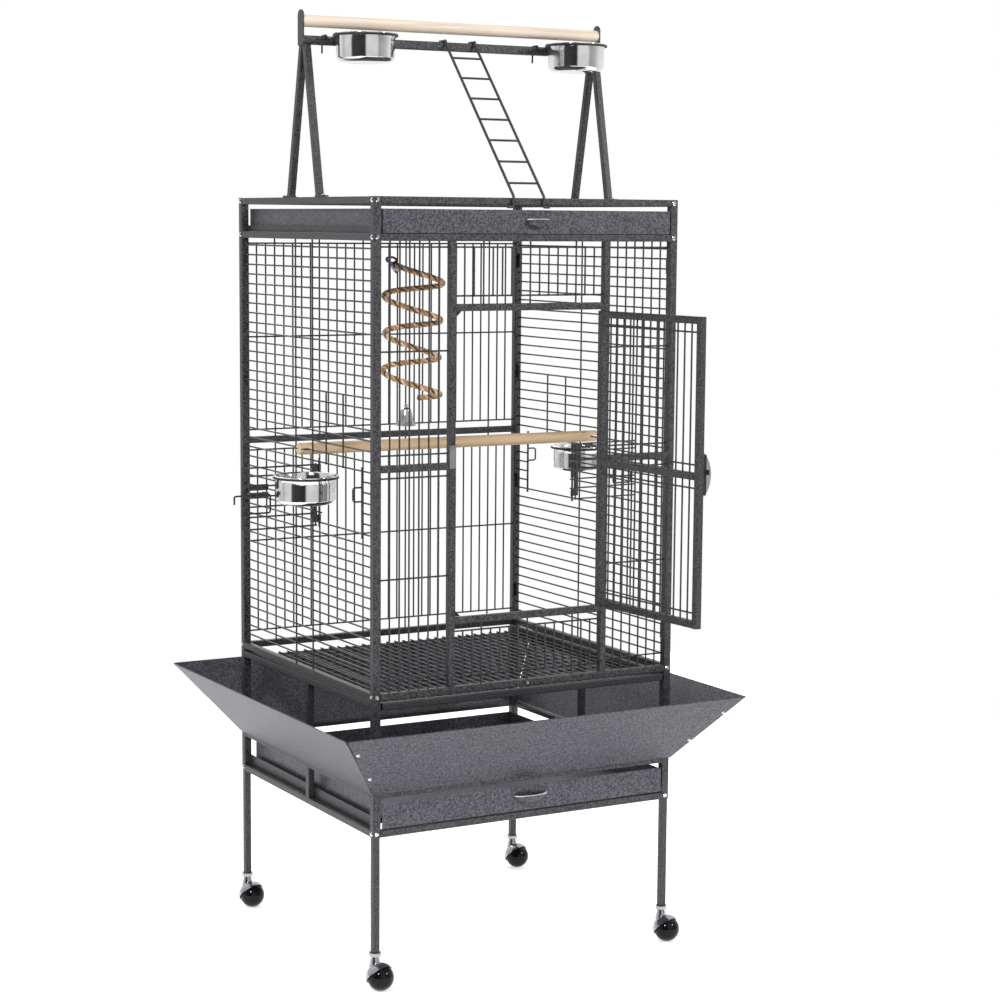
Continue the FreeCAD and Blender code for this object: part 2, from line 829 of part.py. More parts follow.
def feeder_set(suffix, side):
    """Door, bolt and bowl ring of one side, turned out to the rest position."""
    angle = 90 * side - feeder_open
    axis = (feeder_hinge_x * side, feeder_hinge_y * side)
    members = [
        bar("z", feeder_high - feeder_low, near_x, 0, feeder_low),
        bar("z", feeder_high - feeder_low, far_x, 0, feeder_low),
    ]
    levels = [row_top - row_pitch * index for index in feeder_rows]
    levels += [feeder_low + wire / 2, feeder_high - 2.5]
    for z in levels:
        members.append(bar("x", far_x + 1.5 - 6.5, 6.5, inner_plane, z))
    for z in sleeve_levels:
        sleeve = bar("z", sleeve_half * 2, 0, 0, z - sleeve_half, 6.4)
        tab = block(near_x - 1.6, 1.8, sleeve_half * 2, 0, -0.9, z - sleeve_half)
        bore = bar("z", sleeve_half * 4, 0, 0, z - sleeve_half * 2, rod + 0.12)
        members.append(cut(fuse([sleeve, tab]), bore))
    strap_end = near_x + 10.0
    neck_x = strap_end - 3.0
    ring_gap = math.sqrt((ring_radius + ring_wire / 2) ** 2 - (ring_x - strap_end) ** 2)
    members.append(fuse([
        block(10.0, 1.5, 105.5, near_x, plate_y, 816.5),
        block(3.0, ring_y - ring_gap - plate_y, 6.0, neck_x, plate_y, 902.0),
    ]))
    band_height = 11.0
    band_x, band_length = 104.0, 38.0
    members.append(block(band_length, 1.2, band_height, band_x, row_face - 1.2, 880.0))
    guide = [block(band_length, 1.2, band_height, band_x, row_face - 1.2,
                   bolt_z - band_height / 2)]
    for x in (band_x + 3.0, band_x + 32.0):
        guide.append(block(6.0, 7.0, band_height, x, row_face - 8.2, bolt_z - band_height / 2))
    slot = bar("x", 80.0, band_x - 10.0, bolt_y, bolt_z, wire + 0.12)
    members.append(cut(fuse(guide), slot))
    hung("feeder_door" + suffix, members, *axis, angle)

    loop_z = bolt_z - 33.0
    loop_end = bolt_start + 43.0
    path = [(bolt_end, bolt_y, bolt_z - 15.0), (bolt_end, bolt_y, bolt_z),
            (bolt_start, bolt_y, bolt_z), (bolt_start, bolt_y, loop_z),
            (loop_end, bolt_y, loop_z), (loop_end, bolt_y, loop_z + 20.0)]
    hung("feeder_bolt" + suffix, [fixed_wire("bolt", path, wire, 3.5)], *axis, angle)

    torus = doc.addObject("Part::Torus", "ring")
    bind(torus, Radius1=ring_radius, Radius2=ring_wire / 2)
    place(torus, ring_x, ring_y, cell("feeder_bowl_level") - rim_height - ring_wire / 2)
    hung("feeder_ring" + suffix, [torus], *axis, angle)
    return Placement(Vector(axis[0].value, axis[1].value, 0),
                     Rotation(Vector(0, 0, 1), angle))


def bowl(name, centre, level):
    """Stamped bowl with a flat rim; its profile is turned round its own axis."""
    body = new_body(name)
    rim = cell("bowl_rim_radius")
    wall = cell("bowl_wall")
    outer = cell("bowl_radius")
    depth = cell("bowl_depth")
    foot = outer - 9.0
    side = outer - 1.6
    profile = sketch_on(body, "XZ_Plane")
    add_outline(profile, [
        (0, -depth), (foot, -depth), (foot + 5.0, 2.2 - depth), (side, 8.5 - depth),
        (outer - 0.4, -rim_height), (rim, -rim_height), (rim, 0), (outer - wall, 0),
        (side - wall, 8.8 - depth), (foot + 4.4, 3.0 - depth), (foot - 0.2, wall - depth),
        (0, wall - depth),
    ])
    revolve(body, profile)
    place(body, centre[0], centre[1], level)
    return body


left_rest = feeder_set("_left", -1)
right_rest = feeder_set("_right", 1)
for suffix, rest in (("_left", left_rest), ("_right", right_rest)):
    middle = rest.multVec(Vector(ring_x, ring_y.value, 0))
    bowl("feeder_bowl" + suffix, (middle.x, middle.y), cell("feeder_bowl_level"))

# ---------------------------------------------------------------- perches


def dowel(name, half_length, slot_from=None):
    """Round perch along X, with a slot in each end when slot_from is given."""
    body = new_body(name)
    profile = sketch_on(body, "YZ_Plane")
    add_circle(profile, cell("perch_radius"))
    pad(body, profile, half_length * 2, symmetric=True)
    if slot_from is not None:
        slots = sketch_on(body, "XZ_Plane")
        slot_half = wire / 2 + 0.2
        for start, end in ((slot_from, half_length + 1), (-half_length - 1, -slot_from)):
            add_outline(slots, [(start, -slot_half), (end, -slot_half),
                                (end, slot_half), (start, slot_half)])
        pocket(body, slots, cell("perch_radius") * 4, symmetric=True)
    return body


inner_perch = dowel("inner_perch", half_width + 8.5, panel_x - 1.8)
place(inner_perch, 0, 0, cell("perch_level"))

# ---------------------------------------------------------------- play stand

beam = cell("beam_size")
beam_level = cell("beam_level")
beam_half = cell("beam_half_length")
beam_top = beam_level + beam
foot_y = cell("frame_foot_y")
tab_thick = 3.0
frame_low = cage_top + tab_thick
apex_y = 6.6

a_frame_parts = []
rise = (beam_level - frame_low).value
run = foot_y.value - apex_y
lean = math.degrees(math.atan2(run, rise))
leg_run = math.hypot(rise, run) + 30.0
for sx, sy in corners():
    tube = square_tube("z", leg_run, 0, 0, -15.0)
    slant = doc.addObject("Part::Compound", "slanted_leg")
    slant.Links = [tube]
    place(slant, rail_x * sx, foot_y * sy, frame_low, Rotation(Vector(1, 0, 0), lean * sy))
    slab = block(rail * 3, foot_y * 4, beam_level - frame_low, (rail_x * sx) - rail * 1.5,
                 -(foot_y * 2), frame_low)
    common = doc.addObject("Part::Common", "trimmed_leg")
    common.Base = slant
    common.Tool = slab
    a_frame_parts.append(common)
    tab_low = foot_y - 8.0 if sy > 0 else -(foot_y + 24.0)
    a_frame_parts.append(block(rail, 32.0, tab_thick, rail_x * sx - rail / 2, tab_low,
                               cage_top))
compound("a_frames", a_frame_parts)
compound("play_beam", [square_tube("x", beam_half * 2, -beam_half, 0, beam_level + beam / 2,
                                   beam)])

bracket_radius = 11.0
bracket_thick = 3.0
bracket_low = beam_level - 2.0
bracket_mid = cell("bracket_top") - bracket_radius
bracket_parts = []
for side in (-1, 1):
    face = beam_half if side > 0 else -beam_half - bracket_thick
    strap = block(bracket_thick, bracket_radius * 2, bracket_mid - bracket_low, face,
                  -bracket_radius, bracket_low)
    crown = bar("x", bracket_thick, face, 0, bracket_mid, bracket_radius * 2)
    bracket_parts.append(fuse([strap, crown]))
compound("perch_brackets", bracket_parts)
top_perch = dowel("top_perch", beam_half)
place(top_perch, 0, 0, cell("top_perch_level"))

ladder_top_x = 8.0
ladder_foot_x = -8.0
ladder_half = cell("ladder_width") / 2
ladder_wire = 5.0
hook_y = beam / 2 + ladder_wire / 2 + 0.2
hook_back = beam / 2 + 5.2
hook_z = beam_top + ladder_wire / 2 + 0.1
ladder_foot_y = -(half_depth + ladder_wire / 2 + 0.4)
ladder_foot_z = cage_top + 3.0
ladder_top = (-hook_y, hook_z - 6.0)
ladder_parts = []
for side in (-1, 1):
    x = ladder_half * side + ladder_top_x
    foot_x = ladder_half * side + ladder_foot_x
    path = [(foot_x + 12.0 * side, ladder_foot_y, cage_top - 16.0),
            (foot_x, ladder_foot_y, cage_top - 16.0), (foot_x, ladder_foot_y, ladder_foot_z),
            (x, *ladder_top), (x, -hook_y, hook_z), (x, hook_back, hook_z),
            (x, hook_back, hook_z - 14.0)]
    ladder_parts.append(fixed_wire("ladder_rail", path, ladder_wire, 2.6))
rung_count = DIMENSIONS["ladder_rungs"]
rung_length = ladder_half * 2 - ladder_wire
for index in range(1, rung_count + 1):
    share = (index - 0.4) / (rung_count + 0.3)
    rung_y = ladder_foot_y + (ladder_top[0] - ladder_foot_y) * share
    rung_z = ladder_foot_z + (ladder_top[1] - ladder_foot_z) * share
    rung_x = ladder_foot_x + (ladder_top_x - ladder_foot_x) * share - rung_length / 2
    ladder_parts.append(bar("x", rung_length, rung_x, rung_y, rung_z, rod))
compound("ladder", ladder_parts)

top_bowl_x = cell("top_bowl_x")
top_bowl_level = cell("top_bowl_level")
top_bowl_y = -(beam / 2 + ring_radius + ring_wire / 2 + 2.9)
holder_z = top_bowl_level - rim_height - ring_wire / 2
bowls_shift = 3.0                        # the pair hangs a little to the right
holder_parts = []
for side in (-1, 1):
    torus = doc.addObject("Part::Torus", "ring")
    bind(torus, Radius1=ring_radius, Radius2=ring_wire / 2)
    place(torus, top_bowl_x * side + bowls_shift, top_bowl_y, holder_z)
    holder_parts.append(torus)
    clear = beam / 2 + wire / 2 + 0.1
    over = beam_top + wire / 2 + 0.1
    under = holder_z - (ring_wire + 3.2) / 2
    for offset in (-49.0, 49.0):
        x = top_bowl_x * side + bowls_shift + offset
        path = [(x, top_bowl_y + 30.5, under), (x, -clear, under), (x, -clear, over),
                (x, clear, over), (x, clear, beam_level - 14.0)]
        holder_parts.append(fixed_wire("holder_hook", path, wire, 2.0))
compound("top_bowl_holders", holder_parts)
bowl("top_bowl_left", (bowls_shift - top_bowl_x, top_bowl_y), top_bowl_level)
bowl("top_bowl_right", (bowls_shift + top_bowl_x, top_bowl_y), top_bowl_level)

# ---------------------------------------------------------------- hanging toy

toy_x = cell("toy_x")
toy_y = cell("toy_y")
toy_top = cell("toy_top")
toy_bottom = cell("toy_bottom")
rope = bar("z", toy_top - toy_bottom, toy_x, toy_y, toy_bottom, cell("toy_radius") * 2)
compound("toy_rope", [rope])
clip_x = toy_x - 51.0
hook_low = toy_top + 1.5
tie_z = grille_z - wire
clip_path = [(clip_x, toy_y + 3.7, hook_low), (clip_x, toy_y + 3.7, tie_z + 3.6),
             (clip_x, toy_y - 3.7, tie_z + 3.6), (clip_x, toy_y - 3.7, tie_z - 6.0)]
compound("toy_clip", [fixed_wire("clip", clip_path, 3.0, 3.0)])
bell = new_body("toy_bell")
bell_profile = sketch_on(bell, "XZ_Plane")
add_outline(bell_profile, [
    (0, 40), (2.5, 40), (3.5, 33), (9, 30), (12, 20), (14, 8), (19, 0),
    (17.5, 0), (12.8, 7), (10.8, 19), (8, 28.6), (0, 30),
])
revolve(bell, bell_profile)
place(bell, toy_x - 16.0, toy_y, toy_bottom - 42.0)

# ---------------------------------------------------------------- seed guards

guard_low = cell("guard_low").value
guard_high = cell("guard_high").value
lip_notch_y = 1.6                        # the lip passes outside the middle upright


def guard(name, turn, low_half, low_out, high_half, high_out):
    """Sloped sheet with a hem on its upper edge and a lip that lies on the tray ledge."""
    mitre = 1.2
    slope = Vector(0, -(high_out - low_out), guard_high - guard_low)
    normal = Vector(0, -slope.z, slope.y).normalize()

    def slab(start, end, offset, thick, hold_back=0):
        edges = []
        for share, sign in ((start, -1), (start, 1), (end, 1), (end, -1)):
            half = low_half + (high_half - low_half) * share - mitre - hold_back
            base = Vector(half * sign, -low_out, guard_low) + slope * share
            edges.append(base + normal * offset)
        face = Part.Face(Part.makePolygon(edges + edges[:1]))
        return face.extrude(normal * thick)

    sheet_thick = metal.value
    shape = slab(0, 1, 0, sheet_thick)
    shape = shape.fuse(slab(0.94, 1, sheet_thick, sheet_thick, 2.0))
    lip_half = (inner_x.value if turn in (0, 180) else inner_y.value) - 2.0
    lip_depth = 9.0
    lip = Part.makeBox(lip_half * 2, lip_depth, sheet_thick,
                       Vector(-lip_half, -low_out - 0.3, guard_low))
    if turn in (90, 270):
        notch_half = rail.value / 2 + 0.5
        notch = Part.makeBox(notch_half * 2, lip_depth, sheet_thick * 3,
                             Vector(upright_shift - notch_half, lip_notch_y - low_out,
                                    guard_low - sheet_thick))
        lip = lip.cut(notch)
    shape = shape.fuse(lip).removeSplitter()
    feature = keep(name, solid_from(name, shape))
    feature.Placement = Placement(Vector(), Rotation(Vector(0, 0, 1), turn))


guard_front = [cell(alias).value for alias in
               ("guard_low_x", "guard_low_y", "guard_high_x", "guard_high_y")]
guard_side = [cell(alias).value for alias in
              ("guard_low_y", "guard_low_x", "guard_high_y", "guard_high_x")]
guard("seed_guard_front", 0, *guard_front)
guard("seed_guard_right", 90, *guard_side)
guard("seed_guard_back", 180, *guard_front)
guard("seed_guard_left", 270, *guard_side)

# ---------------------------------------------------------------- screws

screws = []


def screw(point, direction, radius=4.4):
    """Domed screw head standing on a surface."""
    head = doc.addObject("Part::Cone", "screw")
    bind(head, Radius1=radius, Radius2=radius * 0.55, Height=2.2)
    place(head, *point, Rotation(Vector(0, 0, 1), Vector(*direction)))
    screws.append(head)


for sx, sy in corners():
    for z in (1398.0, 1334.5, 528.5, 283.0):
        screw((post_x * sx, half_depth * sy, z), (0, sy, 0))
        screw((half_width * sx, post_y * sy, z), (sx, 0, 0))
    screw((rail_x * sx, (foot_y + 16.0) * sy, cage_top + tab_thick), (0, 0, 1))
for side in (-1, 1):
    screw((0, half_depth * side, floor_rail + rail / 2), (0, side, 0), 3.6)

guard_rise = guard_high - guard_low
for out_side in (-1, 1):
    low_half, low_out, high_half, high_out = guard_front
    down = Vector(0, out_side * guard_rise, -(high_out - low_out)).normalize()
    for end in (-1, 1):
        for share in (0.3, 0.75):
            half = low_half + (high_half - low_half) * share - 9.0
            out = low_out + (high_out - low_out) * share
            point = Vector(half * end, out * out_side, guard_low + guard_rise * share)
            screw(point + down * metal.value, down, 3.8)
compound("screws", screws)

# ---------------------------------------------------------------- casters

ball_radius = cell("ball_radius")
offset_x = cell("ball_offset_x")
offset_y = cell("ball_offset_y")
pole = Vector(-0.195, 0.684, 0.70).normalize()
pole_turn = Rotation(Vector(0, 0, 1), pole)
hood_inner = 25.0
hood_outer = 26.8
axle_radius = 3.0
neck_low = 40.0
names = {(-1, -1): "front_left", (1, -1): "front_right", (-1, 1): "back_left",
         (1, 1): "back_right"}


def sphere(radius, low_angle=-90.0):
    ball = doc.addObject("Part::Sphere", "sphere")
    bind(ball, Radius=radius)
    ball.Angle1 = low_angle
    return ball


for (sx, sy), corner in names.items():
    leg_x, leg_y = post_x * sx, post_y * sy
    centre = (leg_x + offset_x, leg_y + offset_y, ball_radius)
    shell = sphere(hood_outer, 12.0)
    place(shell, *centre, pole_turn)
    stem = bar("z", cell("leg_bottom") + 24.0 - neck_low, leg_x, leg_y, neck_low, 10.0)
    neck = doc.addObject("Part::Cone", "neck")
    bind(neck, Radius1=11.5, Radius2=7.0, Height=cell("leg_bottom") - 6.0 - neck_low)
    place(neck, leg_x, leg_y, neck_low)
    collar = bar("z", 6.0, leg_x, leg_y, cell("leg_bottom") - 6.2, 22.0)
    hollow = sphere(hood_inner)
    place(hollow, *centre)
    axle = bar("z", hood_inner - 8.0 + 1.0, 0, 0, 0, axle_radius * 2)
    place(axle, *[base + part * 8.0 for base, part in zip(centre, pole)], pole_turn)
    compound("caster_hood_" + corner, [fuse([cut(fuse([shell, stem, neck, collar]), hollow),
                                             axle])])
    ball = sphere(ball_radius)
    place(ball, *centre)
    bore = bar("z", ball_radius * 2, 0, 0, 0, (axle_radius + 0.06) * 2)
    place(bore, *[base + part * 7.5 for base, part in zip(centre, pole)], pole_turn)
    compound("caster_ball_" + corner, [cut(ball, bore)])

# ---------------------------------------------------------------- checks and export

doc.recompute()
for obj in doc.Objects:
    if "Invalid" in obj.State or "Error" in obj.State:
        raise RuntimeError(f"{obj.Label} does not compute: {obj.State}")

os.makedirs("parts", exist_ok=True)
for name, obj in nodes.items():
    shape = obj.Shape
    if shape.isNull() or not shape.isValid() or not shape.Solids:
        raise RuntimeError(f"{name} is not a valid solid")
    shape.exportStep(f"parts/{name}.step")
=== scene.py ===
import math
import bpy
from mathutils import Matrix, Vector


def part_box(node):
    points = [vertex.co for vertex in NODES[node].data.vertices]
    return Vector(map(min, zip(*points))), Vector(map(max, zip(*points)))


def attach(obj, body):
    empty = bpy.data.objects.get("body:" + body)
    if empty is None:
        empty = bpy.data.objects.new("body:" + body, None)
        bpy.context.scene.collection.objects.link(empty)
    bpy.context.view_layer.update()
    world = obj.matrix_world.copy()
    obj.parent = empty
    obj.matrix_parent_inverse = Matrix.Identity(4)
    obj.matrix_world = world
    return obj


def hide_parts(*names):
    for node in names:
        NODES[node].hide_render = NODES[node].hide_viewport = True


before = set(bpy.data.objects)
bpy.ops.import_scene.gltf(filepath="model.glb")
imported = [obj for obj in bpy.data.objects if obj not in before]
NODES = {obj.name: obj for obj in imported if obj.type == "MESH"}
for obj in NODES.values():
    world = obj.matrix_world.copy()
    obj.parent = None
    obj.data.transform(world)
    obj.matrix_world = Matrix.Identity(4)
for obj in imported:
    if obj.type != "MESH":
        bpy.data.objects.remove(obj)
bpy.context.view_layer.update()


# ---------------------------------------------------------------- camera and stage

CAMERA_YAW = math.radians(29.43)
CAMERA_PITCH = math.radians(6.88)
CAMERA_ROLL = math.radians(0.438)
CAMERA_PLACE = (-2.073, -3.863, 1.3616)
CAMERA_LENS = 82.9
SENSOR_WIDTH = 36.0
CAGE_MIDDLE = (0, 0, 0.9)
CAMERA_RIGHT = (math.cos(CAMERA_YAW), -math.sin(CAMERA_YAW), 0.0)
TOWARDS_CAMERA = (-math.sin(CAMERA_YAW), -math.cos(CAMERA_YAW), 0.0)

# Brightness by bearing, in degrees to the right of the way to the camera.
REFLECTED_BANDS = [(-110, 1.0), (-92, 0.6), (-80, 0.85), (-56, 0.9), (-50, 0.06), (2, 0.03),
                   (8, 0.9), (50, 0.85), (58, 0.4), (78, 0.5), (92, 0.7), (110, 1.0)]


def add_camera():
    """Camera at the photograph's viewing angle."""
    data = bpy.data.cameras.new("camera")
    data.lens = CAMERA_LENS
    data.sensor_width = SENSOR_WIDTH
    data.clip_end = 60.0
    obj = bpy.data.objects.new("camera", data)
    bpy.context.collection.objects.link(obj)
    level = math.cos(CAMERA_PITCH)
    look = Vector((math.sin(CAMERA_YAW) * level, math.cos(CAMERA_YAW) * level,
                   -math.sin(CAMERA_PITCH)))
    right = Vector(CAMERA_RIGHT)
    up = right.cross(look)
    across = right * math.cos(CAMERA_ROLL) + up * math.sin(CAMERA_ROLL)
    upward = up * math.cos(CAMERA_ROLL) - right * math.sin(CAMERA_ROLL)
    turn = Matrix((across, upward, -look)).transposed().to_4x4()
    turn.translation = Vector(CAMERA_PLACE)
    obj.matrix_world = turn
    bpy.context.scene.camera = obj


def add_light(name, place, size, power):
    """Round soft light that faces the middle of the cage."""
    data = bpy.data.lights.new(name, "AREA")
    data.shape = "DISK"
    data.size = size
    data.energy = power
    obj = bpy.data.objects.new(name, data)
    bpy.context.collection.objects.link(obj)
    obj.location = place
    aim = Vector(CAGE_MIDDLE) - Vector(place)
    obj.rotation_euler = aim.to_track_quat("-Z", "Y").to_euler()


add_camera()
add_light("key", (-3.0, -2.6, 3.6), 0.8, 120)
add_light("fill", (2.6, -3.2, 2.8), 0.7, 60)
add_light("back", (0.6, 3.6, 3.0), 1.6, 50)


def build_world():
    """The camera sees white; reflections and light see upright dark and bright bands."""
    world = bpy.data.worlds.new("world")
    world.use_nodes = True
    tree = world.node_tree
    background = tree.nodes["Background"]
    coordinates = tree.nodes.new("ShaderNodeTexCoord")
    directions = []
    for direction in (CAMERA_RIGHT, TOWARDS_CAMERA):
        part = tree.nodes.new("ShaderNodeVectorMath")
        part.operation = "DOT_PRODUCT"
        part.inputs[1].default_value = direction
        tree.links.new(coordinates.outputs["Generated"], part.inputs[0])
        directions.append(part.outputs["Value"])
    bearing = tree.nodes.new("ShaderNodeMath")
    bearing.operation = "ARCTAN2"
    tree.links.new(directions[0], bearing.inputs[0])
    tree.links.new(directions[1], bearing.inputs[1])
    share = tree.nodes.new("ShaderNodeMapRange")
    share.inputs["From Min"].default_value = -math.pi
    share.inputs["From Max"].default_value = math.pi
    tree.links.new(bearing.outputs[0], share.inputs[0])
    bands = tree.nodes.new("ShaderNodeValToRGB")
    elements = bands.color_ramp.elements
    while len(elements) < len(REFLECTED_BANDS):
        elements.new(0.5)
    for element, (degrees, value) in zip(elements, REFLECTED_BANDS):
        element.position = 0.5 + degrees / 360
        element.color = (value, value, value, 1.0)
    tree.links.new(share.outputs[0], bands.inputs[0])
    seen = tree.nodes.new("ShaderNodeLightPath")
    whiten = tree.nodes.new("ShaderNodeMix")
    whiten.data_type = "RGBA"
    whiten.inputs[7].default_value = (1.0, 1.0, 1.0, 1.0)
    tree.links.new(seen.outputs["Is Camera Ray"], whiten.inputs[0])
    tree.links.new(bands.outputs[0], whiten.inputs[6])
    tree.links.new(whiten.outputs[2], background.inputs[0])
    bpy.context.scene.world = world
    bpy.context.scene.view_settings.view_transform = "Standard"


build_world()


# ---------------------------------------------------------------- materials

def new_material(name):
    material = bpy.data.materials.new(name)
    material.use_nodes = True
    tree = material.node_tree
    shader = tree.nodes["Principled BSDF"]
    return material, tree, shader


def add_node(tree, kind, **inputs):
    node = tree.nodes.new(kind)
    for key, value in inputs.items():
        node.inputs[key.replace("_", " ")].default_value = value
    return node


def ramp(tree, source, stops):
    """Colour ramp from (position, colour) stops."""
    node = tree.nodes.new("ShaderNodeValToRGB")
    elements = node.color_ramp.elements
    while len(elements) < len(stops):
        elements.new(0.5)
    for element, (position, colour) in zip(elements, stops):
        element.position = position
        element.color = (*colour, 1.0)
    tree.links.new(source, node.inputs[0])
    return node


def object_coordinates(tree, scale=(1, 1, 1)):
    coordinates = tree.nodes.new("ShaderNodeTexCoord")
    mapping = tree.nodes.new("ShaderNodeMapping")
    mapping.inputs["Scale"].default_value = scale
    tree.links.new(coordinates.outputs["Object"], mapping.inputs[0])
    return mapping.outputs[0]


def add_bump(tree, shader, source, strength, distance):
    bump = add_node(tree, "ShaderNodeBump", Strength=strength, Distance=distance)
    tree.links.new(source, bump.inputs["Height"])
    tree.links.new(bump.outputs[0], shader.inputs["Normal"])


def powder_coat(name, dark, light, vein_scale, vein_strength, rough=(0.38, 0.55)):
    """Hammered powder coat: dark ground with fine lighter veins and small pits."""
    material, tree, shader = new_material(name)
    place = object_coordinates(tree)
    veins = add_node(tree, "ShaderNodeTexNoise", Scale=vein_scale, Detail=3.0, Roughness=0.62)
    tree.links.new(place, veins.inputs[0])
    cells = add_node(tree, "ShaderNodeTexVoronoi", Scale=vein_scale * 1.3)
    cells.feature = "DISTANCE_TO_EDGE"
    tree.links.new(place, cells.inputs[0])
    tone = ramp(tree, veins.outputs[0], [(0.38, dark), (0.62, light)])
    tree.links.new(tone.outputs[0], shader.inputs["Base Color"])
    gloss = tree.nodes.new("ShaderNodeMapRange")
    gloss.inputs["To Min"].default_value = rough[0]
    gloss.inputs["To Max"].default_value = rough[1]
    tree.links.new(veins.outputs[0], gloss.inputs[0])
    tree.links.new(gloss.outputs[0], shader.inputs["Roughness"])
    height = tree.nodes.new("ShaderNodeMath")
    height.operation = "MULTIPLY"
    tree.links.new(veins.outputs[0], height.inputs[0])
    tree.links.new(cells.outputs[0], height.inputs[1])
    add_bump(tree, shader, height.outputs[0], vein_strength, 0.001)
    shader.inputs["Metallic"].default_value = 0.35
    shader.inputs["Specular IOR Level"].default_value = 0.5
    return material


def metal(name, colour, roughness, streak=(1, 1, 1), grain=220.0, bump=0.02):
    """Bright metal with faint brushing and smudges."""
    material, tree, shader = new_material(name)
    place = object_coordinates(tree, streak)
    noise = add_node(tree, "ShaderNodeTexNoise", Scale=grain, Detail=4.0)
    tree.links.new(place, noise.inputs[0])
    low = tuple(value * 0.86 for value in colour)
    tone = ramp(tree, noise.outputs[0], [(0.35, low), (0.65, colour)])
    tree.links.new(tone.outputs[0], shader.inputs["Base Color"])
    gloss = tree.nodes.new("ShaderNodeMapRange")
    gloss.inputs["To Min"].default_value = roughness * 0.7
    gloss.inputs["To Max"].default_value = roughness * 1.4
    tree.links.new(noise.outputs[0], gloss.inputs[0])
    tree.links.new(gloss.outputs[0], shader.inputs["Roughness"])
    add_bump(tree, shader, noise.outputs[0], bump, 0.0005)
    shader.inputs["Metallic"].default_value = 1.0
    return material


def wood(name, dark, light):
    """Pale turned dowel with long grain along X."""
    material, tree, shader = new_material(name)
    place = object_coordinates(tree, (2.2, 60.0, 60.0))
    grain = add_node(tree, "ShaderNodeTexNoise", Scale=1.6, Detail=6.0, Roughness=0.6,
                     Distortion=0.4)
    tree.links.new(place, grain.inputs[0])
    pores = add_node(tree, "ShaderNodeTexNoise", Scale=14.0, Detail=3.0)
    tree.links.new(place, pores.inputs[0])
    tone = ramp(tree, grain.outputs[0], [(0.3, dark), (0.7, light)])
    tree.links.new(tone.outputs[0], shader.inputs["Base Color"])
    shader.inputs["Roughness"].default_value = 0.62
    add_bump(tree, shader, pores.outputs[0], 0.15, 0.0006)
    return material


def plastic(name, colour, roughness, scale=400.0, bump=0.05, shine=0.5):
    material, tree, shader = new_material(name)
    place = object_coordinates(tree)
    noise = add_node(tree, "ShaderNodeTexNoise", Scale=scale, Detail=3.0)
    tree.links.new(place, noise.inputs[0])
    lighter = tuple(min(value * 1.6 + 0.002, 0.9) for value in colour)
    tone = ramp(tree, noise.outputs[0], [(0.35, colour), (0.7, lighter)])
    tree.links.new(tone.outputs[0], shader.inputs["Base Color"])
    shader.inputs["Roughness"].default_value = roughness
    shader.inputs["Specular IOR Level"].default_value = shine
    add_bump(tree, shader, noise.outputs[0], bump, 0.0003)
    return material


COAT = powder_coat("coat", (0.012, 0.012, 0.014), (0.085, 0.082, 0.09), 330.0, 0.5)
COAT_SHEET = powder_coat("coat_sheet", (0.03, 0.027, 0.036), (0.12, 0.112, 0.135), 260.0, 0.5,
                         (0.36, 0.5))
COAT_WIRE = powder_coat("coat_wire", (0.016, 0.016, 0.018), (0.075, 0.074, 0.08), 420.0, 0.3)
COAT_DARK = powder_coat("coat_dark", (0.008, 0.008, 0.009), (0.03, 0.03, 0.032), 420.0, 0.25)
CHROME = metal("chrome", (0.74, 0.74, 0.76), 0.12, bump=0.01)
STAINLESS = metal("stainless", (0.74, 0.74, 0.75), 0.1, (1, 1, 1), 45.0, 0.006)
BELL = metal("bell_steel", (0.5, 0.5, 0.5), 0.3)
CASTER_CHROME = metal("caster_chrome", (0.42, 0.42, 0.44), 0.14, bump=0.01)
DULL_STEEL = metal("dull_steel", (0.3, 0.3, 0.31), 0.4)
BALL = plastic("ball_black", (0.002, 0.002, 0.0025), 0.06, 60.0, 0.01, 0.22)
CLIP_BLACK = plastic("clip_plastic", (0.018, 0.018, 0.02), 0.5)
PERCH_TOP = wood("wood_top", (0.62, 0.5, 0.38), (0.84, 0.74, 0.62))
PERCH_INNER = wood("wood_inner", (0.56, 0.38, 0.22), (0.74, 0.55, 0.35))

DARK_NODES = ("feeder_bolt_left", "feeder_bolt_right", "feeder_ring_left", "feeder_ring_right",
              "top_bowl_holders", "door_latch_case")
WIRE_NODES = ("front_wires", "back_wires", "side_wires_left", "side_wires_right", "door_bars",
              "roof_grille", "bottom_grate", "feeder_door_left", "feeder_door_right", "ladder")


def paint(obj, material):
    slots = obj.material_slots
    if not slots:
        obj.data.materials.append(material)
    for item in slots:
        item.material = material


for node_name, node in NODES.items():
    if node_name in WIRE_NODES:
        paint(node, COAT_WIRE)
    elif node_name in DARK_NODES:
        paint(node, COAT_DARK)
    elif node_name.startswith("seed_guard") or node_name.endswith("_tray"):
        paint(node, COAT_SHEET)
    elif node_name.startswith("caster_ball"):
        paint(node, BALL)
    elif node_name.startswith("caster_hood"):
        paint(node, CASTER_CHROME)
    elif node_name in ("screws", "door_latch_lever"):
        paint(node, CHROME)
    elif node_name in ("latch_keeper", "toy_clip"):
        paint(node, DULL_STEEL)
    elif "bowl" in node_name:
        paint(node, STAINLESS)
    elif node_name == "top_perch":
        paint(node, PERCH_TOP)
    elif node_name == "inner_perch":
        paint(node, PERCH_INNER)
    elif node_name == "panel_clips":
        paint(node, CLIP_BLACK)
    elif node_name == "toy_bell":
        paint(node, BELL)
    else:
        paint(node, COAT)


# ---------------------------------------------------------------- hanging rope toy

COIL_HEADING = math.radians(-29.4)
COIL_RADIUS = 0.0525
COIL_WAVER = 0.002
COIL_WAVER_RATE = 0.37
COIL_PITCH = 0.068
COIL_SINK = 0.0055
COIL_DRIFT = 0.006
COIL_TOP_GAP = 0.006
COIL_FIRST, COIL_LAST, COIL_STEP = 228.0, 1518.0, 21.5


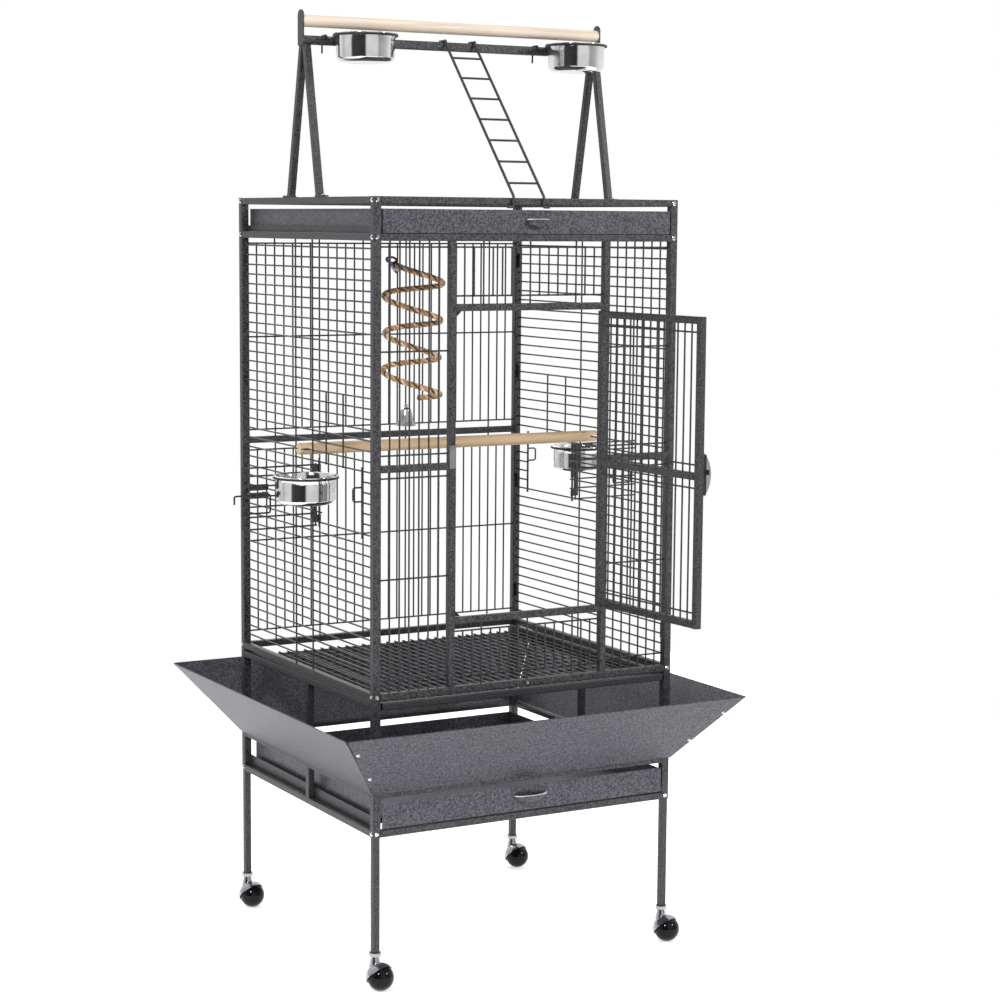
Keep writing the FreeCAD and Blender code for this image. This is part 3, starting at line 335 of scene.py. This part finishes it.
def rope_route():
    """Control points of the coil: turns that sink to one side, as the rope hangs."""
    low, high = (Vector(corner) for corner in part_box("toy_rope"))
    centre = (low + high) / 2
    side = Vector((math.cos(COIL_HEADING), math.sin(COIL_HEADING), 0.0))
    depth = Vector((-side.y, side.x, 0.0))
    top = high.z - COIL_TOP_GAP
    points = []
    count = int((COIL_LAST - COIL_FIRST) / COIL_STEP)
    for index in range(count + 1):
        degrees = COIL_FIRST + COIL_STEP * index
        turn = math.radians(degrees)
        radius = COIL_RADIUS - COIL_WAVER * math.cos(turn * COIL_WAVER_RATE)
        height = top - COIL_PITCH * (degrees - COIL_FIRST) / 360.0
        height -= COIL_SINK * (math.cos(turn) - math.cos(math.radians(COIL_FIRST)))
        point = centre - side * COIL_DRIFT * index / count
        point = point + side * radius * math.cos(turn) + depth * radius * math.sin(turn)
        points.append(Vector((point.x, point.y, height)))
    return points


def smooth_route(name, control):
    """Points along the NURBS spline that has these control points."""
    data = bpy.data.curves.new(name, "CURVE")
    data.dimensions = "3D"
    spline = data.splines.new("NURBS")
    spline.points.add(len(control) - 1)
    for point, place in zip(spline.points, control):
        point.co = (*place, 1.0)
    spline.order_u = 3
    spline.use_endpoint_u = True
    spline.resolution_u = 6
    holder = bpy.data.objects.new(name, data)
    mesh = bpy.data.meshes.new_from_object(holder)
    points = [vertex.co.copy() for vertex in mesh.vertices]
    bpy.data.objects.remove(holder)
    return points


def tube_mesh(sections, sides, closed=False):
    """Vertices and faces of a tube from (centre, across, up, radius) sections."""
    vertices, faces = [], []
    for centre, across, up, radius in sections:
        for index in range(sides):
            angle = 2 * math.pi * index / sides
            vertices.append(centre + (across * math.cos(angle) + up * math.sin(angle)) * radius)
    rings = len(sections)
    for ring in range(rings if closed else rings - 1):
        here = ring * sides
        ahead = (ring + 1) % rings * sides
        for index in range(sides):
            follow = (index + 1) % sides
            faces.append((here + index, here + follow, ahead + follow, ahead + index))
    if not closed:
        faces.append(tuple(reversed(range(sides))))
        faces.append(tuple(range((rings - 1) * sides, rings * sides)))
    return vertices, faces


def frames_along(points):
    """Each point with its tangent and two cross directions that don't twist."""
    result = []
    across = None
    for index, point in enumerate(points):
        before = points[max(index - 1, 0)]
        after = points[min(index + 1, len(points) - 1)]
        tangent = (after - before).normalized()
        if across is None:
            across = tangent.cross(Vector((0, 0, 1))).normalized()
        across = (across - tangent * across.dot(tangent)).normalized()
        result.append((point, tangent, across, tangent.cross(across)))
    return result


def resample(points, spacing):
    """Points at an even spacing along a route."""
    result = [points[0]]
    carried = 0.0
    for start, end in zip(points, points[1:]):
        length = (end - start).length
        while carried + length >= spacing:
            share = (spacing - carried) / length
            start = start.lerp(end, share)
            length = (end - start).length
            result.append(start)
            carried = 0.0
        carried += length
    return result


def new_piece(name, vertices, faces, materials, face_slots=None):
    """Smooth-shaded object in the shared frame."""
    mesh = bpy.data.meshes.new(name)
    mesh.from_pydata([tuple(vertex) for vertex in vertices], [], faces)
    for material in materials:
        mesh.materials.append(material)
    if face_slots:
        mesh.polygons.foreach_set("material_index", face_slots)
    mesh.polygons.foreach_set("use_smooth", [True] * len(mesh.polygons))
    mesh.update()
    obj = bpy.data.objects.new(name, mesh)
    bpy.context.collection.objects.link(obj)
    return obj


def add_part(vertices, faces, part, part_faces):
    """Append one part's vertices and faces to a growing mesh."""
    base = len(vertices)
    vertices += part
    faces += [tuple(base + corner for corner in face) for face in part_faces]


def tubes_piece(name, shapes, sides, material):
    """Piece made of round tubes, each given as (points, radius, closed)."""
    vertices, faces = [], []
    for points, radius, closed in shapes:
        sections = [(point, across, up, radius) for point, _, across, up in frames_along(points)]
        if closed:
            sections = sections[:-1]
        add_part(vertices, faces, *tube_mesh(sections, sides, closed))
    return new_piece(name, vertices, faces, [material])


def fibre(name, dark, light):
    """Twisted jute or cotton yarn."""
    material, tree, shader = new_material(name)
    place = object_coordinates(tree)
    noise = add_node(tree, "ShaderNodeTexNoise", Scale=520.0, Detail=5.0, Roughness=0.7)
    tree.links.new(place, noise.inputs[0])
    patch = add_node(tree, "ShaderNodeTexNoise", Scale=60.0, Detail=2.0)
    tree.links.new(place, patch.inputs[0])
    mix = tree.nodes.new("ShaderNodeMath")
    mix.operation = "ADD"
    tree.links.new(noise.outputs[0], mix.inputs[0])
    tree.links.new(patch.outputs[0], mix.inputs[1])
    tone = ramp(tree, mix.outputs[0], [(0.75, dark), (1.2, light)])
    tree.links.new(tone.outputs[0], shader.inputs["Base Color"])
    shader.inputs["Roughness"].default_value = 0.9
    shader.inputs["Sheen Weight"].default_value = 0.3
    add_bump(tree, shader, noise.outputs[0], 0.6, 0.0012)
    return material


YARNS = [
    fibre("yarn_orange", (0.34, 0.12, 0.05), (0.66, 0.3, 0.14)),
    fibre("yarn_cream", (0.52, 0.36, 0.22), (0.82, 0.64, 0.46)),
    fibre("yarn_brown", (0.07, 0.025, 0.018), (0.2, 0.08, 0.05)),
    fibre("yarn_ochre", (0.3, 0.22, 0.05), (0.58, 0.44, 0.16)),
]


LAY_LENGTH = 0.034
STRAND_OFFSET = 0.0028
STRAND_RADIUS = 0.0027
STRAND_SIDES = 8
STRAND_SPACING = 0.0022


def build_rope(route, clip):
    """Laid rope of four yarns that wind round the route."""
    fine = resample(route, STRAND_SPACING)
    vertices, faces, slots = [], [], []
    for strand in range(len(YARNS)):
        sections = []
        for index, (point, _, across, up) in enumerate(frames_along(fine)):
            lay = index * STRAND_SPACING / LAY_LENGTH
            angle = 2 * math.pi * (lay + strand / len(YARNS))
            offset = (across * math.cos(angle) + up * math.sin(angle)) * STRAND_OFFSET
            sections.append((point + offset, across, up, STRAND_RADIUS))
        part, part_faces = tube_mesh(sections, STRAND_SIDES)
        add_part(vertices, faces, part, part_faces)
        slots += [strand] * len(part_faces)
    rope = new_piece("rope_coil", vertices, faces, YARNS, slots)
    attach(rope, "hanging_toy")
    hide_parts("toy_rope")


# ---------------------------------------------------------------- bowls

BOWL_WALL = 0.0011
RIM_BEAD = 0.0012
ARC_STEPS = 8
FOOT_CORNER = 0.008
FOOT_CORNER_REACH = 0.0075
FOOT_INSET = 0.006
FOOT_INSET_INSIDE = 0.0064
FOOT_RISE = 0.0008
SIDE_RISE = 0.0102
SIDE_LEAN = 0.0013
SIDE_BELOW_RIM = 0.0044
FOOT_BELOW_RIM = 0.0135
BOWL_SEGMENTS = 96
CENTRE_HOLE = 0.0002


def foot_arc(foot, depth, inset, rise):
    """Rounded corner between a bowl's underside and its side, from the bottom up."""
    points = []
    for step in range(1, ARC_STEPS):
        share = step / ARC_STEPS
        angle = math.pi / 2 * share
        points.append((foot - inset + FOOT_INSET * share + FOOT_CORNER_REACH * math.sin(angle),
                       -depth + rise + FOOT_CORNER * (1 - math.cos(angle))))
    return points


def bead_arc(centre):
    """Outer half of the rolled rim, from the bottom up."""
    points = []
    for step in range(1, ARC_STEPS):
        angle = -math.pi / 2 + math.pi * step / ARC_STEPS
        points.append((centre + RIM_BEAD * math.cos(angle), -RIM_BEAD + RIM_BEAD * math.sin(angle)))
    return points


def bowl_profile(rim, side, foot, depth):
    """Half outline of a pressed bowl, from the middle of its underside to its inside."""
    bead_centre = rim - RIM_BEAD
    side_foot = side - SIDE_LEAN
    side_level = -depth + SIDE_RISE
    leaning = [(side - 0.0012, -depth * 0.6), (side - 0.0006, -depth * 0.3)]
    points = [(0.0, -depth), (foot - 2 * FOOT_INSET, -depth),
              (foot - FOOT_INSET, -depth + FOOT_RISE)]
    points += foot_arc(foot, depth, FOOT_INSET, FOOT_RISE)
    points += [(side_foot, side_level - 0.001), (side_foot, side_level)]
    points += leaning
    points += [(side - 0.0004, -0.0034), (side + 0.0003, -0.0026), (bead_centre, -2 * RIM_BEAD)]
    points += bead_arc(bead_centre)
    points += [(bead_centre, 0.0), (side + 0.0006, -0.0003), (side - BOWL_WALL, -0.0022)]
    points += [(radius - BOWL_WALL, height) for radius, height in reversed(leaning)]
    points += [(side_foot - BOWL_WALL, side_level + 0.001), (side_foot - BOWL_WALL, side_level)]
    points += reversed(foot_arc(foot, depth, FOOT_INSET_INSIDE, FOOT_RISE + BOWL_WALL))
    points += [(foot - FOOT_INSET - 0.0005, -depth + BOWL_WALL + FOOT_RISE),
               (0.0, -depth + BOWL_WALL)]
    return points


def lathe(name, profile, centre, material):
    """Surface of revolution about the vertical through centre."""
    vertices, faces = [], []
    for index in range(BOWL_SEGMENTS):
        angle = 2 * math.pi * index / BOWL_SEGMENTS
        for radius, height in profile:
            reach = max(radius, CENTRE_HOLE)
            vertices.append(centre + Vector((reach * math.cos(angle), reach * math.sin(angle),
                                             height)))
    rows = len(profile)
    starts = [index * rows for index in range(BOWL_SEGMENTS)]
    for start, follow in zip(starts, starts[1:] + starts[:1]):
        for row in range(rows - 1):
            faces.append((start + row, follow + row, follow + row + 1, start + row + 1))
    faces.append(tuple(reversed(starts)))
    faces.append(tuple(start + rows - 1 for start in starts))
    return new_piece(name, vertices, faces, [material])


BOWL_BODIES = {"feeder_bowl_left": "left_feeder_bowl", "feeder_bowl_right": "right_feeder_bowl",
               "top_bowl_left": "left_top_bowl", "top_bowl_right": "right_top_bowl"}


def build_bowls():
    """Smooth pressed bowls, a hair inside the boxes of the bowls that they replace."""
    for node_name, body in BOWL_BODIES.items():
        low, high = (Vector(corner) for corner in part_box(node_name))
        centre = (low + high) / 2
        centre.z = high.z - 0.0001
        rim = (high.x - low.x) / 2 - 0.0002
        depth = high.z - low.z - 0.0003
        profile = bowl_profile(rim, rim - SIDE_BELOW_RIM, rim - FOOT_BELOW_RIM, depth)
        piece = lathe(node_name + "_spun", profile, centre, STAINLESS)
        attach(piece, body)
        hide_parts(node_name)


build_bowls()


# ---------------------------------------------------------------- tray pulls and toy link

LIP_WIRE = 0.0013
LIP_SIDES = 8
LIP_STEPS = 24
LIP_START, LIP_SWEEP = 8, 164
LIP_INSET = 0.0009
LIP_DROP = 0.0004
CUP_BACK = 0.016
CUP_REACH = 0.0146


def pull_lip_highlight(name, body, centre_x, mouth_z, front_y, half):
    """Painted highlight: a bright strip round the mouth of a tray pull, standing for light caught
    on its edge.
    """
    points = []
    for step in range(LIP_STEPS + 1):
        turn = math.radians(LIP_START + LIP_SWEEP * step / LIP_STEPS)
        points.append(Vector((centre_x + (half - LIP_INSET) * math.cos(turn),
                              front_y + CUP_BACK - CUP_REACH * math.sin(turn),
                              mouth_z - LIP_DROP)))
    piece = tubes_piece(name, [(points, LIP_WIRE, False)], LIP_SIDES, LIP_HIGHLIGHT)
    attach(piece, body)


# Bright grey colour that paints the highlight of light caught on the pull's lip.
LIP_HIGHLIGHT = plastic("painted_highlight_lip", (0.62, 0.6, 0.6), 0.3, 300.0, 0.02)
FRONT_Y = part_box("top_tray")[0][1]
pull_lip_highlight("top_pull_lip", "upper_tray", 0.012, 1.3671, FRONT_Y, 0.0224)
pull_lip_highlight("bottom_pull_lip", "lower_tray", 0.0075, 0.321, FRONT_Y, 0.034)


CLIP_SIDES = 14
HOOK_WIRE = 0.0015
LINK_WIRE = 0.0023
LINK_HALF_WIDTH = 0.0085
LINK_STEPS = 32
LINK_FACING = Vector((0.87, -0.49, 0))
FERRULE_RADIUS = 0.0072


def roof_hook(low, high, middle, eye):
    """Wire that goes up, over the roof's wires and down to its eye."""
    front, back = low.y + HOOK_WIRE, high.y - HOOK_WIRE
    points = [Vector((middle.x, front, high.z - 0.014)), Vector((middle.x, front, high.z - 0.003))]
    for step in range(1, ARC_STEPS):
        turn = math.pi * step / ARC_STEPS
        points.append(Vector((middle.x, middle.y - 0.0037 * math.cos(turn),
                              high.z - 0.0035 + 0.002 * math.sin(turn))))
    return points + [Vector((middle.x, back, high.z - 0.003)), eye]


def oval_link(top, bottom):
    """Closed oval between two points."""
    centre = (top + bottom) / 2
    reach = (top - bottom).length / 2 + 0.002
    along = (top - bottom).normalized()
    side = (LINK_FACING - along * along.dot(LINK_FACING)).normalized()
    points = []
    for step in range(LINK_STEPS + 1):
        turn = 2 * math.pi * step / LINK_STEPS
        points.append(centre + along * reach * math.sin(turn)
                      + side * LINK_HALF_WIDTH * math.cos(turn))
    return points


def build_clip(route):
    """Wire hook, oval link and crimped ferrule that hang the rope from the roof."""
    low, high = (Vector(corner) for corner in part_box("toy_clip"))
    middle = (low + high) / 2
    eye = Vector((middle.x, middle.y, low.z + 0.004))
    rope_end = Vector(route[0])
    ferrule = [rope_end + Vector((-0.002, 0, 0.003)), rope_end + Vector((0.004, 0, -0.006)),
               rope_end + Vector((0.009, -0.002, -0.012))]
    shapes = [(roof_hook(low, high, middle, eye), HOOK_WIRE, False),
              (oval_link(eye, rope_end + Vector((0, 0, 0.004))), LINK_WIRE, True),
              (ferrule, FERRULE_RADIUS, False)]
    piece = tubes_piece("toy_clip_link", shapes, CLIP_SIDES, CLIP_STEEL)
    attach(piece, "hanging_toy")
    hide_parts("toy_clip")
    return piece


CLIP_STEEL = metal("clip_steel", (0.34, 0.32, 0.36), 0.3)
ROPE_ROUTE = smooth_route("rope_route", rope_route())
build_rope(ROPE_ROUTE, build_clip(ROPE_ROUTE))


# ---------------------------------------------------------------- floor

FLOOR_HALF = 2.2
FLOOR_GLOW = 0.55


def add_floor():
    """Pale floor that glows faintly, so that the shadows stay light."""
    material, tree, shader = new_material("floor")
    place = object_coordinates(tree)
    noise = add_node(tree, "ShaderNodeTexNoise", Scale=3.0, Detail=2.0)
    tree.links.new(place, noise.inputs[0])
    tone = ramp(tree, noise.outputs[0], [(0.3, (0.93, 0.93, 0.93)), (0.7, (0.96, 0.96, 0.96))])
    tree.links.new(tone.outputs[0], shader.inputs["Base Color"])
    tree.links.new(tone.outputs[0], shader.inputs["Emission Color"])
    shader.inputs["Emission Strength"].default_value = FLOOR_GLOW
    shader.inputs["Roughness"].default_value = 0.9
    mesh = bpy.data.meshes.new("floor")
    corners = [(-1, -1), (1, -1), (1, 1), (-1, 1)]
    mesh.from_pydata([(x * FLOOR_HALF, y * FLOOR_HALF, 0) for x, y in corners],
                     [], [(0, 1, 2, 3)])
    mesh.materials.append(material)
    obj = bpy.data.objects.new("floor", mesh)
    bpy.context.collection.objects.link(obj)


add_floor()
